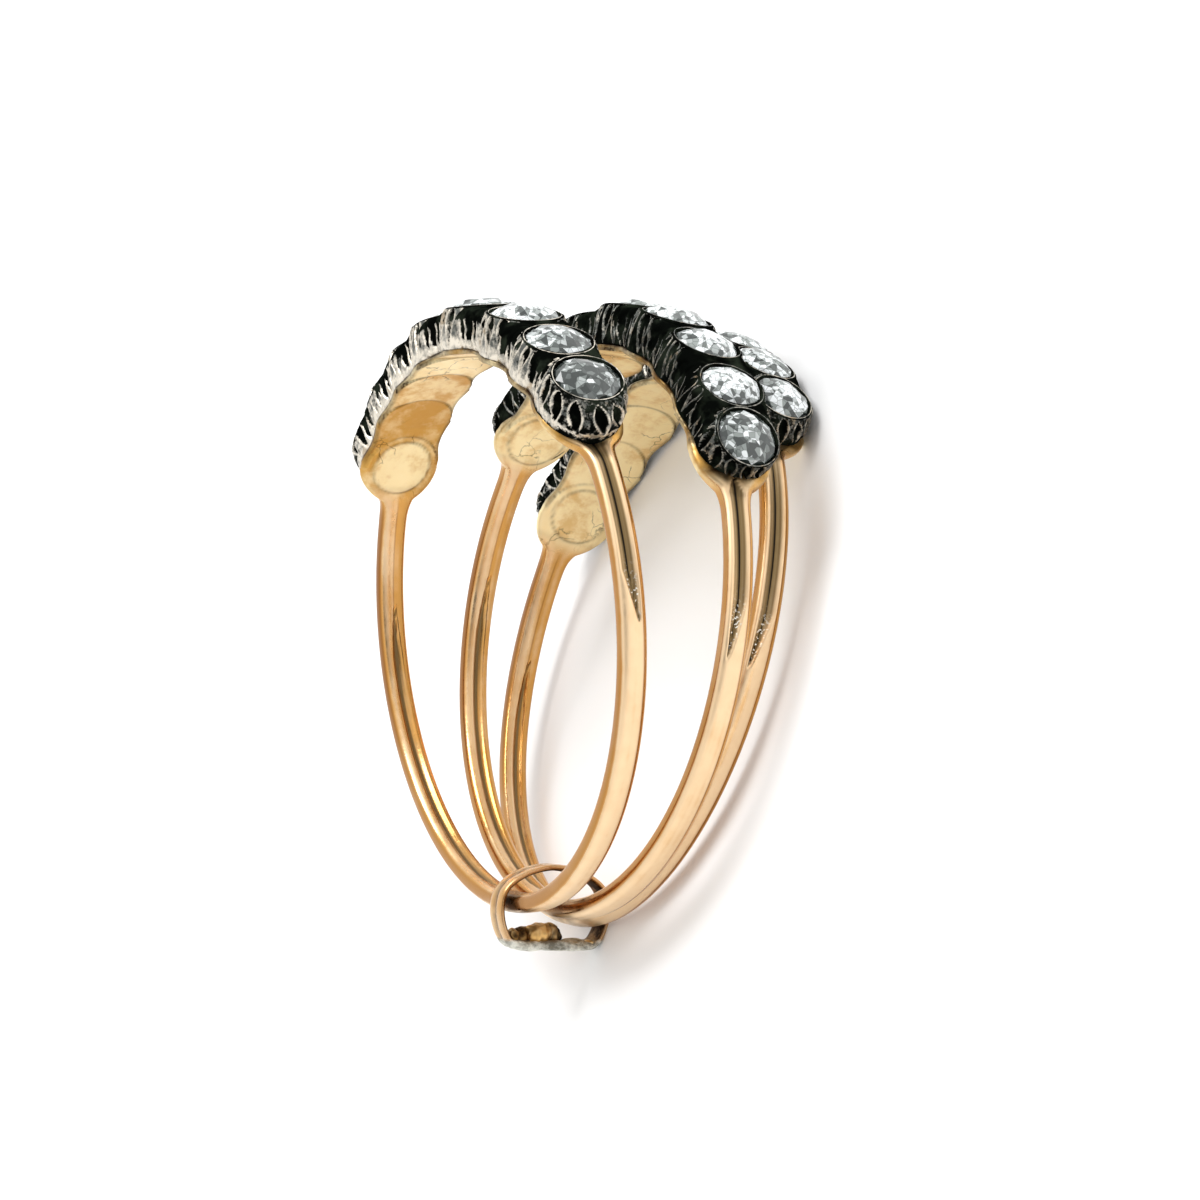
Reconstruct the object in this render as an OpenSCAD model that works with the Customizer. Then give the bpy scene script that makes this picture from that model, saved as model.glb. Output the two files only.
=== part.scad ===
// A ring of three loose gold hoops gathered in one small gold collar,
// lying on its side. Each hoop carries a row of eight rose-cut stones
// in silver collets. Millimetres, +Z up.
//
// Hoop frame: +Y runs from the collar to the jewelled side, Z is the
// finger axis, and the origin is the centre of the finger hole.
// Seat frame: +Z points out through the stone, X runs along the row.

/* [Shank] */
// radius of the finger hole inside each hoop
bore_r = 8.74; // [8.6:0.02:9]
// thickness of the shank wire, measured outward
wire_t = 0.62; // [0.5:0.02:0.7]
// width of the shank wire, along the finger
wire_w = 0.86; // [0.7:0.02:0.9]

/* [Stone row] */
// thickness of the gold back plate
plate_t = 0.20; // [0.15:0.01:0.3]
// half width of the back plate between two lobes
plate_half = 1.22; // [1:0.02:1.26]
// height of the gold cup round each end of a row
cup_h = 0.40; // [0.34:0.02:0.5]
// height of the collet rims above the back of the plate
rim_h = 1.66; // [1.5:0.02:1.7]
// height of the stones' flat tops above the back of the plate
stone_h = 1.90; // [1.82:0.01:2]
// size of the stones against the size first drawn
stone_scale = 1.0; // [0.9:0.01:1.03]
// how far the end collets lean towards the wire, in degrees
end_lean = 9; // [0:1:12]

/* [Collar] */
// length of the collar along the wires
collar_l = 0.9; // [0.6:0.1:1.2]
// outer half width of the collar
collar_r = 1.90; // [1.89:0.01:2.1]
// thickness of the collar wall
collar_t = 0.20; // [0.18:0.01:0.22]

/* [Hidden] */
$fn = 96;
// play round the stones and between gold and silver
gap = 0.02;

// longer than any hoop is wide, for cuts that go right through
through = 9;
// the finger hole's cut is shorter, so that its ends don't lie in those cuts' ends
hole_through = 8;
// how far the wire's oval starts inside the finger hole, and how square it is
land = 0.04;
squareness = 0.77;

// gold cup under an end collet, and the neck that runs from it into the wire
cup_r = 1.28;
drawn_cup_r = 1.26;
cup_below = 0.6;
cup_inset = 0.05;
neck_from = 0.65;
neck_half = 0.98;
neck_past = 0.4;
neck_end_half = 0.2;
wire_in_neck = 0.3;

// collet: wall outside the stone, then height of the straight foot, the
// shoulder's inset and height, the rim's inset, and the depth below the plate
collet_wall = 0.33;
foot_h = 0.8;
shoulder_in = 0.08;
shoulder_h = 1.15;
rim_in = 0.26;
bead_below = -0.3;
// the drawn-out part of an end collet is a little lower and narrower
drawn_h = 1.42;
drawn_in = 0.04;
// edge of the plate inside the collets' edge, and how far it starts inside the hole
lobe_in = 0.04;
plate_below = 0.1;
// silver between the collets: a wide low part and a narrower high part
web_half = 1.16;
web_h = 1.15;
ridge_half = 1.00;
ridge_h = 1.45;

// leaf cuts on both sides of a collet: directions, radius, height, lean
leaf_dirs = [75, 102, 255, 282];
leaf_r = 0.12;
leaf_from = 0.5;
leaf_h = 0.85;
leaf_lean = 7;
leaf_out = 0.03;

// stone: girdle height, then size and height of the middle ring and the table
girdle_h = 0.08;
mid_size = 0.66;
mid_h = 0.42;
table_size = 0.30;
table_h = 0.60;

// collar: low crown arc and flat foot
collar_at = [0.11, -9.03, 1.903];
collar_turn = [15.6, 0.6, 0];
crown_r = 2.58;
crown_shift = 1.18;
foot_out = 1.34;
foot_in = 1.02;

gold = [0.86, 0.62, 0.36];
silver = [0.45, 0.44, 0.42];
stone_colour = [0.8, 0.82, 0.84];

// Each hoop: centre, turn, direction of the row's middle, radius of the
// back of the plate, shift of that arc's centre, shift across the row,
// stone directions from the middle, half widths of the stones across and
// along the row, how far each end collet is drawn out, where the wire starts.
upper = [[0.30, -0.72, 6.28], [20.92, 2.84, 0.71], 92, 9.90, -1.50, 0.13,
    [-39.9, -29.1, -17.0, -1.7, 12.8, 23.9, 34.8, 46.0],
    [1.06, 1.04, 1.06, 1.09, 1.02, 0.98, 0.96, 0.94],
    [0.88, 0.86, 0.98, 1.08, 0.96, 0.88, 0.88, 0.90],
    [0.45, 0.15], [2.05, 1.45]];
middle = [[0.84, -0.05, 3.31], [10.40, 3.68, 0.98], 85, bore_r, 0, -0.10,
    [-48.7, -37.2, -24.5, -11.1, 3.9, 19.0, 34.5, 50.0],
    [0.96, 0.98, 1.01, 1.04, 1.07, 1.05, 1.02, 0.97],
    [0.94, 0.84, 0.90, 0.98, 1.02, 1.04, 1.02, 0.92],
    [0.15, 0.15], [1.62, 1.62]];
lower = [[-0.76, 0.04, 1.19], [3.29, 0.57, -0.01], 100, bore_r, 0, -0.18,
    [-46.6, -34.6, -21.9, -7.5, 7.5, 22.0, 36.0, 49.5],
    [0.91, 0.94, 1.00, 1.03, 1.05, 1.02, 1.00, 0.96],
    [0.86, 0.88, 0.96, 1.00, 1.00, 0.98, 0.94, 0.92],
    [0.30, 0.30], [1.85, 1.95]];

function centre(h) = h[0];
function turned(h) = h[1];
function row_dir(h) = h[2];
function back_r(h) = h[3];
function arc_shift(h) = h[4];
function side(h) = h[5];
function stone_dir(h, i) = h[6][i];
function across(h, i) = h[7][i];
function along(h, i) = h[8][i];
function drawn(h, i) = h[9][i == 0 ? 0 : 1];
function wire_start(h, i) = h[10][i == 0 ? 0 : 1];

// Widest radius of collet i, a little more than its stone.
function lobe(h, i) = across(h, i) + collet_wall;
// Direction along the row in which an end collet is drawn out.
function way(i) = i == 0 ? 1 : -1;
// Lean of collet i: full at the ends, half next to them.
function lean(i) = end_lean * (i == 0 ? 1 : i == 1 ? 0.5 : i == 6 ? -0.5 : i == 7 ? -1 : 0);
function power(v, e) = sign(v) * pow(abs(v), e);
// Direction of stone i seen from the centre of the finger hole.
function seen(h, i) = row_dir(h)
    + atan2(back_r(h) * sin(stone_dir(h, i)), back_r(h) * cos(stone_dir(h, i)) + arc_shift(h));
// Angle round the wire, in degrees, for a length at its mid thickness.
function on_wire(length) = length / (bore_r + wire_t / 2) * 180 / PI;

// Section of the shank: a soft oval, later cut to a flat land by the finger hole.
wire_section = [for (a = [0 : 15 : 345])
    [bore_r - land + (wire_t + land) / 2 * (1 + power(cos(a), squareness)),
     wire_w / 2 * power(sin(a), squareness)]];

// Puts a piece drawn in the hoop frame where that hoop lies.
module lay(h) {
    translate(centre(h)) rotate(turned(h)) children();
}

// Moves to the centre of the row's arc.
module arc(h) {
    rotate([0, 0, row_dir(h) - 90]) translate([0, arc_shift(h), side(h)]) children();
}

// Puts a piece on the back of the plate at stone i.
module seat(h, i) {
    arc(h) rotate([0, 0, stone_dir(h, i)]) translate([0, back_r(h), 0]) rotate([-90, 0, 0]) children();
}

// The same place, leaning as that collet leans.
module leaning_seat(h, i) {
    seat(h, i) rotate([0, lean(i), 0]) children();
}

// A strip of the row between two radii, from the first stone to the last.
module strip(h, r0, r1, half) {
    arc(h) rotate([0, 0, 90 + stone_dir(h, 0)])
        rotate_extrude(angle = stone_dir(h, 7) - stone_dir(h, 0))
            translate([r0, -half]) square([r1 - r0, 2 * half]);
}

// One collet without its seat: straight foot, full shoulder, sloping rim.
module bead(wide, top, grow = 0) {
    rotate_extrude()
        polygon([[0, bead_below], [wide + grow, bead_below], [wide + grow, foot_h],
                 [wide - shoulder_in + grow, shoulder_h], [wide - rim_in + grow, top], [0, top]]);
}

// The end collet is drawn out towards the wire.
module end_bead(h, i, grow = 0) {
    bead(lobe(h, i), rim_h, grow);
    translate([drawn(h, i) * way(i), 0, 0]) bead(lobe(h, i) - drawn_in, drawn_h, grow);
}

// Plan of the gold cup under an end collet and its neck into the wire.
module cup_plan(h, i, grow = 0) {
    circle(r = cup_r + grow);
    translate([drawn(h, i) * way(i), 0]) circle(r = drawn_cup_r + grow);
    near = (drawn(h, i) + neck_from) * way(i);
    far = (wire_start(h, i) + neck_past) * way(i);
    polygon([[near, neck_half + grow], [far, side(h) + neck_end_half + grow],
             [far, side(h) - neck_end_half - grow], [near, -neck_half - grow]]);
}

// Cup under an end collet, nearly as deep as the wire.
module cup(h, i) {
    intersection() {
        cylinder(r = bore_r + wire_t - cup_inset, h = through, center = true);
        seat(h, i) translate([0, 0, -cup_below]) linear_extrude(2) cup_plan(h, i);
    }
}

// Room for the silver above the lip of a cup, with no lip on the row's side.
module cup_room(h, i) {
    seat(h, i) translate([i == 0 ? -4 : 0, -4, cup_h]) cube([4, 8, 3]);
    intersection() {
        leaning_seat(h, i) end_bead(h, i, gap);
        seat(h, i) translate([-4, -4, cup_h]) cube([8, 8, 3]);
    }
}

// Back plate with its scalloped edge, a little thick towards the finger.
module plate(h) {
    difference() {
        intersection() {
            arc(h) cylinder(r = back_r(h) + plate_t, h = through, center = true);
            union() {
                strip(h, back_r(h) - 0.5, back_r(h) + 1, plate_half);
                for (i = [1 : 6]) seat(h, i)
                    translate([0, 0, -0.5]) cylinder(r = lobe(h, i) - lobe_in, h = 1.5);
            }
        }
        arc(h) cylinder(r = back_r(h) - plate_below, h = through, center = true);
    }
}

// The finger hole, flatter behind the row where its arc is flatter.
module finger_hole(h) {
    if (arc_shift(h) == 0) cylinder(r = bore_r, h = hole_through, center = true);
    else intersection() {
        cylinder(r = bore_r, h = hole_through, center = true);
        arc(h) cylinder(r = back_r(h), h = through, center = true);
    }
}

module hoop(h) {
    start = seen(h, 7) + on_wire(wire_start(h, 7) - wire_in_neck);
    finish = seen(h, 0) - on_wire(wire_start(h, 0) - wire_in_neck);
    difference() {
        union() {
            // shank wire, from one cup round through the collar to the other
            rotate([0, 0, start]) rotate_extrude(angle = 360 + finish - start) polygon(wire_section);
            plate(h);
            cup(h, 0);
            cup(h, 7);
        }
        finger_hole(h);
        cup_room(h, 0);
        cup_room(h, 7);
    }
}

// Girdle outline of stone i: an oval with twelve corners.
function oval(h, i, grow) = [for (a = [0 : 30 : 330])
    [(along(h, i) * stone_scale + grow) * cos(a), (across(h, i) * stone_scale + grow) * sin(a)]];

module collets(h) {
    difference() {
        union() {
            for (i = [0, 7]) leaning_seat(h, i) end_bead(h, i);
            for (i = [1 : 6]) leaning_seat(h, i) bead(lobe(h, i), rim_h);
            strip(h, back_r(h) + plate_t, back_r(h) + web_h, web_half);
            strip(h, back_r(h) + plate_t, back_r(h) + ridge_h, ridge_half);
        }
        // hollow that sits round the back plate
        arc(h) cylinder(r = back_r(h) + plate_t + gap, h = through, center = true);
        // room for the cup at each end
        for (i = [0, 7]) seat(h, i) translate([0, 0, -1]) linear_extrude(1 + cup_h + gap)
            cup_plan(h, i, 2 * gap);
        for (i = [0 : 7]) leaning_seat(h, i) {
            translate([0, 0, stone_h - table_h - gap]) linear_extrude(1) polygon(oval(h, i, gap));
            // leaf cuts that leave ribs between them
            for (a = leaf_dirs) rotate([0, 0, a])
                translate([lobe(h, i) + leaf_out, 0, leaf_from]) rotate([0, -leaf_lean, 0])
                    cylinder(r = leaf_r, h = leaf_h);
        }
    }
}

// Rose-cut stone: flat back, twelve-sided girdle, a row of kites and a
// small six-sided table.
module rose(h, i) {
    low = oval(h, i, 0);
    mid = low * mid_size;
    top = low * table_size;
    polyhedron(
        points = concat(
            [for (p = low) [p[0], p[1], 0]],
            [for (p = low) [p[0], p[1], girdle_h]],
            [for (k = [0 : 2 : 10]) [mid[k][0], mid[k][1], mid_h]],
            [for (k = [1 : 2 : 11]) [top[k][0], top[k][1], table_h]]),
        faces = concat(
            [[for (k = [0 : 11]) k]],
            [for (k = [0 : 11]) [12 + k, 12 + (k + 1) % 12, (k + 1) % 12, k]],
            [for (k = [0 : 5]) [12 + 2 * k, 24 + k, 12 + 2 * k + 1]],
            [for (k = [0 : 5]) [12 + 2 * k + 1, 24 + (k + 1) % 6, 12 + (2 * k + 2) % 12]],
            [for (k = [0 : 5]) [12 + 2 * k + 1, 24 + k, 24 + (k + 1) % 6]],
            [for (k = [0 : 5]) [24 + k, 30 + k, 24 + (k + 1) % 6]],
            [for (k = [0 : 5]) [24 + k, 30 + (k + 5) % 6, 30 + k]],
            [[for (k = [5 : -1 : 0]) 30 + k]]));
}

module stone(h, i) {
    lay(h) leaning_seat(h, i) translate([0, 0, stone_h - table_h]) rose(h, i);
}

// Outline of the collar: round sides, a lower crown and a flat foot.
module collar_outline(inset, foot) {
    intersection() {
        circle(r = collar_r - inset);
        translate([0, -crown_shift]) circle(r = crown_r - inset);
        translate([-3, -foot]) square([6, 6]);
    }
}

module collar_solid() {
    translate(collar_at) rotate(collar_turn) rotate([0, 90, 0])
        linear_extrude(collar_l, center = true) difference() {
            collar_outline(0, foot_out);
            collar_outline(collar_t, foot_in);
        }
}

module hoop_upper() color(gold) lay(upper) hoop(upper);
module hoop_middle() color(gold) lay(middle) hoop(middle);
module hoop_lower() color(gold) lay(lower) hoop(lower);
module collets_upper() color(silver) lay(upper) collets(upper);
module collets_middle() color(silver) lay(middle) collets(middle);
module collets_lower() color(silver) lay(lower) collets(lower);
module collar() color(gold) collar_solid();
module stone_upper_1() color(stone_colour) stone(upper, 0);
module stone_upper_2() color(stone_colour) stone(upper, 1);
module stone_upper_3() color(stone_colour) stone(upper, 2);
module stone_upper_4() color(stone_colour) stone(upper, 3);
module stone_upper_5() color(stone_colour) stone(upper, 4);
module stone_upper_6() color(stone_colour) stone(upper, 5);
module stone_upper_7() color(stone_colour) stone(upper, 6);
module stone_upper_8() color(stone_colour) stone(upper, 7);
module stone_middle_1() color(stone_colour) stone(middle, 0);
module stone_middle_2() color(stone_colour) stone(middle, 1);
module stone_middle_3() color(stone_colour) stone(middle, 2);
module stone_middle_4() color(stone_colour) stone(middle, 3);
module stone_middle_5() color(stone_colour) stone(middle, 4);
module stone_middle_6() color(stone_colour) stone(middle, 5);
module stone_middle_7() color(stone_colour) stone(middle, 6);
module stone_middle_8() color(stone_colour) stone(middle, 7);
module stone_lower_1() color(stone_colour) stone(lower, 0);
module stone_lower_2() color(stone_colour) stone(lower, 1);
module stone_lower_3() color(stone_colour) stone(lower, 2);
module stone_lower_4() color(stone_colour) stone(lower, 3);
module stone_lower_5() color(stone_colour) stone(lower, 4);
module stone_lower_6() color(stone_colour) stone(lower, 5);
module stone_lower_7() color(stone_colour) stone(lower, 6);
module stone_lower_8() color(stone_colour) stone(lower, 7);

hoop_upper();
hoop_middle();
hoop_lower();
collets_upper();
collets_middle();
collets_lower();
collar();
stone_upper_1();
stone_upper_2();
stone_upper_3();
stone_upper_4();
stone_upper_5();
stone_upper_6();
stone_upper_7();
stone_upper_8();
stone_middle_1();
stone_middle_2();
stone_middle_3();
stone_middle_4();
stone_middle_5();
stone_middle_6();
stone_middle_7();
stone_middle_8();
stone_lower_1();
stone_lower_2();
stone_lower_3();
stone_lower_4();
stone_lower_5();
stone_lower_6();
stone_lower_7();
stone_lower_8();
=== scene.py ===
import math

import bpy
import numpy as np
from mathutils import Matrix


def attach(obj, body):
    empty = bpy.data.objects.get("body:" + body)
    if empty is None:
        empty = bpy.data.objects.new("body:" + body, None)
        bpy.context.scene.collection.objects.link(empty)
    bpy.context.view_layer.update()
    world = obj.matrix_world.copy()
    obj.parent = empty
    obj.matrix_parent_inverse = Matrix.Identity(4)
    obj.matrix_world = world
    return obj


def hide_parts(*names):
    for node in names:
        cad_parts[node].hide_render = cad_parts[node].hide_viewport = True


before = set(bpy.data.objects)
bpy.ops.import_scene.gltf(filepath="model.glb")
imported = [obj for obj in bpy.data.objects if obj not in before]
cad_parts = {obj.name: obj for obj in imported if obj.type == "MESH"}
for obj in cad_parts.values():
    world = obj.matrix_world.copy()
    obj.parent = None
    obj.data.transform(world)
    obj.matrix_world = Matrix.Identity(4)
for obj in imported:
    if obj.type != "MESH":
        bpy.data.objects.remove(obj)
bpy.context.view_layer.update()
print("frame loaded:", len(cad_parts), "nodes")

# shapes, camera and stage are in millimetres, the patterns of the materials in metres
mm = 0.001

# The three hoops, each with a row of eight stones. rowDir is the row's direction in degrees from
# the hoop's X, arcRadius and arcShift give the row's arc, side shifts it sideways.
# angles are the stones' places from the row's middle, across and along their half widths.
# drawnOut: how far each end cup is drawn out along the wire, lip: the cups' thickness, pull: how
# far the silver stops short of them. The silver's tone is the brightness of the rubbed silver, with
# painted light: lighter or darker on each hoop by how that hoop is lit. band: its pale strip at the
# foot, ribs: rubbing between the ribs. fluteFrom, fluteEnd: the flute's ends on the wire, tip: side
# to which its point turns. The stones' values are the painted reflection brightness of each stone,
# and the scales' values the orange of each scale, a painted shade by how light falls on it.
hoops = {
    "upper": {
        "centre": (0.30, -0.72, 6.28), "turn": (20.92, 2.84, 0.71), "rowDir": 92,
        "arcRadius": 9.90, "arcShift": -1.50, "side": 0.13,
        "angles": (-39.9, -29.1, -17.0, -1.7, 12.8, 23.9, 34.8, 46.0),
        "across": (1.06, 1.04, 1.06, 1.09, 1.02, 0.98, 0.96, 0.94),
        "along": (0.88, 0.86, 0.98, 1.08, 0.96, 0.88, 0.88, 0.90),
        "drawnOut": (0.45, 0.15), "lip": 0.44, "pull": 0.28, "seed": 11,
        "toneAndLight": 0.82, "band": 1.0, "ribs": 0.62,
        "fluteFrom": 0.8, "fluteEnd": 7.0, "tip": 0.5,
        "paintedReflection": (0.12, 0.42, 0.54, 0.5, 0.45, 0.45, 0.4, 0.4),
        "deep": (0.5, 0.4, 0.45, 0.5, 0.12, 0.55, 0.85, 0.7),
    },
    "middle": {
        "centre": (0.84, -0.05, 3.31), "turn": (10.40, 3.68, 0.98), "rowDir": 85,
        "arcRadius": 8.74, "arcShift": 0.0, "side": -0.10,
        "angles": (-48.7, -37.2, -24.5, -11.1, 3.9, 19.0, 34.5, 50.0),
        "across": (0.96, 0.98, 1.01, 1.04, 1.07, 1.05, 1.02, 0.97),
        "along": (0.94, 0.84, 0.90, 0.98, 1.02, 1.04, 1.02, 0.92),
        "drawnOut": (0.15, 0.15), "lip": 0.62, "pull": 0.45, "seed": 22,
        "toneAndLight": 0.34, "band": 0.0, "ribs": 0.14,
        "fluteFrom": 1.1, "fluteEnd": 6.3, "tip": -0.4,
        "paintedReflection": (0.22, 0.52, 0.58, 0.5, 0.45, 0.45, 0.4, 0.4),
        "deep": (0.4, 0.5, 0.6, 0.55, 0.45, 0.5, 0.35, 0.2),
    },
    "lower": {
        "centre": (-0.76, 0.04, 1.19), "turn": (3.29, 0.57, -0.01), "rowDir": 100,
        "arcRadius": 8.74, "arcShift": 0.0, "side": -0.18,
        "angles": (-46.6, -34.6, -21.9, -7.5, 7.5, 22.0, 36.0, 49.5),
        "across": (0.91, 0.94, 1.00, 1.03, 1.05, 1.02, 1.00, 0.96),
        "along": (0.86, 0.88, 0.96, 1.00, 1.00, 0.98, 0.94, 0.92),
        "drawnOut": (0.30, 0.30), "lip": 0.44, "pull": 0.38, "seed": 33,
        "toneAndLight": 0.6, "band": 0.0, "ribs": 0.4,
        "fluteFrom": 0.8, "fluteEnd": 8.6, "tip": -0.5,
        "paintedReflection": (0.48, 0.46, 0.46, 0.5, 0.45, 0.45, 0.4, 0.4),
        "deep": (0.4, 0.4, 0.3, 0.3, 0.25, 0.2, 0.25, 0.1),
    },
}
# degrees that each seat leans towards its end of the row
lean = (9.0, 4.5, 0, 0, 0, 0, -4.5, -9.0)


def turnMatrix(turn):
    # turns about X, then Y, then Z, in degrees
    a, b, c = np.radians(turn)
    rx = np.array([[1, 0, 0], [0, math.cos(a), -math.sin(a)], [0, math.sin(a), math.cos(a)]])
    ry = np.array([[math.cos(b), 0, math.sin(b)], [0, 1, 0], [-math.sin(b), 0, math.cos(b)]])
    rz = np.array([[math.cos(c), -math.sin(c), 0], [math.sin(c), math.cos(c), 0], [0, 0, 1]])
    return rz @ ry @ rx


def lay(points, hoop):
    # hoop frame to part frame: turned, then moved to the hoop's centre
    return points @ turnMatrix(hoop["turn"]).T + np.array(hoop["centre"])


def rowToHoop(x, y, hoop):
    # the row's own plane, Y through the row's middle, turned to the row's direction
    r = math.radians(hoop["rowDir"] - 90)
    return math.cos(r) * x - math.sin(r) * y, math.sin(r) * x + math.cos(r) * y


def seatToHoop(points, hoop, i):
    # seat frame of stone i to hoop frame: Z points outwards from the row's arc and leans a little
    # at the row's ends, X runs along the row and Y across it
    t = math.radians(lean[i])
    x = math.cos(t) * points[..., 0] + math.sin(t) * points[..., 2]
    z = math.cos(t) * points[..., 2] - math.sin(t) * points[..., 0] + hoop["arcRadius"]
    a = math.radians(hoop["angles"][i])
    px = math.cos(a) * x - math.sin(a) * z
    py = math.sin(a) * x + math.cos(a) * z + hoop["arcShift"]
    return np.stack([*rowToHoop(px, py, hoop), hoop["side"] - points[..., 1]], axis=-1)


def ripple(points, scale, seed):
    # smooth noise, mostly from -1 to 1: a sum of nine sine waves in random directions
    rng = np.random.default_rng(seed)
    total = np.zeros(points.shape[:-1])
    for _ in range(9):
        way = rng.normal(size=3)
        total += np.sin(points @ (way / scale) + rng.uniform(0, 2 * math.pi))
    return total / 4.5


def smooth(value, low, high):
    # 0 below low, 1 above high, with the S curve 3t^2 - 2t^3 between
    t = np.clip((value - low) / (high - low), 0, 1)
    return t * t * (3 - 2 * t)


def bell(value, centre, width):
    # 1 at the centre, falling off as exp(-d^2), with d the distance in widths
    return np.exp(-((value - centre) / width) ** 2)


def addMesh(name, points, faces, material, marks, flat=False):
    # one closed mesh from millimetre points and index rows, with its marks as point attributes
    mesh = bpy.data.meshes.new(name)
    mesh.from_pydata((np.asarray(points) * mm).tolist(), [], [list(f) for f in faces])
    mesh.polygons.foreach_set("use_smooth", np.full(len(mesh.polygons), not flat))
    for key, values in marks.items():
        layer = mesh.attributes.new(key, "FLOAT", "POINT")
        layer.data.foreach_set("value", np.asarray(values, dtype=np.float32).ravel())
    mesh.materials.append(material)
    mesh.validate()
    mesh.update()
    piece = bpy.data.objects.new(name, mesh)
    bpy.context.scene.collection.objects.link(piece)
    return piece


def tubeFaces(rows, columns):
    # quads of a closed tube whose rows and columns both run round
    r, c = np.meshgrid(np.arange(rows), np.arange(columns), indexing="ij")
    nextRow = (r + 1) % rows
    nextColumn = (c + 1) % columns
    corners = [r * columns + c, r * columns + nextColumn,
               nextRow * columns + nextColumn, nextRow * columns + c]
    return np.stack(corners, axis=-1).reshape(-1, 4)


def domeFaces(rows, columns):
    # faces of a shape of revolution whose first and last points are its poles
    r, c = np.meshgrid(np.arange(rows - 1), np.arange(columns), indexing="ij")
    a = 1 + r * columns + c
    b = 1 + r * columns + (c + 1) % columns
    quads = np.stack([a, b, b + columns, a + columns], axis=-1).reshape(-1, 4)
    ring = np.arange(columns)
    following = (ring + 1) % columns
    last = 1 + rows * columns
    top = last - columns
    low = np.stack([np.zeros_like(ring), 1 + following, 1 + ring], axis=-1)
    high = np.stack([np.full(columns, last), top + ring, top + following], axis=-1)
    return quads.tolist() + low.tolist() + high.tolist()


class Nodes:
    # short way to build a material's node tree
    def __init__(self, name):
        self.material = bpy.data.materials.new(name)
        self.material.use_nodes = True
        self.tree = self.material.node_tree
        self.shader = self.tree.nodes["Principled BSDF"]
        self.place = self.add("ShaderNodeTexCoord").outputs["Object"]

    def add(self, kind, **values):
        # a new node whose settings or sockets take these values
        node = self.tree.nodes.new(kind)
        for key, value in values.items():
            if hasattr(node, key):
                setattr(node, key, value)
            else:
                node.inputs[key].default_value = value
        return node

    def link(self, source, target):
        # a wire from an output to an input
        self.tree.links.new(source, target)

    def pattern(self, kind, **values):
        # outputs of a pattern that stays with the piece
        node = self.add(kind, **values)
        self.link(self.place, node.inputs["Vector"])
        return node.outputs

    def noise(self, scale, detail=3.0, rough=0.55):
        # cloudy noise from 0 to 1
        return self.pattern("ShaderNodeTexNoise", Scale=scale, Detail=detail, Roughness=rough)["Fac"]

    def mark(self, name):
        # one of the mesh's own point attributes
        return self.add("ShaderNodeAttribute", attribute_name=name).outputs["Fac"]

    def feed(self, node, sockets, values):
        # puts into each socket a fixed colour, a fixed number or another node's output
        for socket, value in zip(sockets, values):
            if isinstance(value, tuple):
                node.inputs[socket].default_value = (*value, 1.0)
            elif isinstance(value, (int, float)):
                node.inputs[socket].default_value = value
            else:
                self.link(value, node.inputs[socket])

    def ramp(self, source, low, high, lowValue=0.0, highValue=1.0):
        # lowValue below low, highValue above high, with an S curve between
        node = self.add("ShaderNodeMapRange", interpolation_type="SMOOTHSTEP")
        sockets = ("Value", "From Min", "From Max", "To Min", "To Max")
        self.feed(node, sockets, (source, low, high, lowValue, highValue))
        return node.outputs["Result"]

    def mix(self, factor, first, second):
        # first colour where the factor is 0, second where it is 1
        node = self.add("ShaderNodeMix", data_type="RGBA")
        self.feed(node, (0, 6, 7), (factor, first, second))
        return node.outputs[2]

    def blendValue(self, factor, first, second):
        # first number where the factor is 0, second where it is 1
        node = self.add("ShaderNodeMix", data_type="FLOAT")
        self.feed(node, (0, 2, 3), (factor, first, second))
        return node.outputs[0]

    def math(self, how, first, second):
        # sum, product or greater of two numbers
        node = self.add("ShaderNodeMath", operation=how)
        self.feed(node, (0, 1), (first, second))
        return node.outputs[0]

    def bump(self, height, strength, distance, before=None):
        # normal tilted by the slope of the height, on top of an earlier normal
        node = self.add("ShaderNodeBump", Strength=strength, Distance=distance)
        self.link(height, node.inputs["Height"])
        if before is not None:
            self.link(before, node.inputs["Normal"])
        return node.outputs["Normal"]


def hairlines(m):
    # thin broken lines in patches: edges of cells whose place is bent by noise
    bend = m.pattern("ShaderNodeTexNoise", Scale=1600.0, Detail=3.0)["Color"]
    shift = m.add("ShaderNodeVectorMath", operation="MULTIPLY_ADD")
    shift.inputs[1].default_value = (0.0009, 0.0009, 0.0009)
    m.link(bend, shift.inputs[0])
    m.link(m.place, shift.inputs[2])
    cells = m.add("ShaderNodeTexVoronoi", feature="DISTANCE_TO_EDGE", Scale=1100.0)
    m.link(shift.outputs[0], cells.inputs["Vector"])
    line = m.ramp(cells.outputs["Distance"], 0.0, 0.03, 0.6, 0.0)
    return m.math("MULTIPLY", line, m.ramp(m.noise(520.0, 2.0), 0.52, 0.62))


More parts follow.
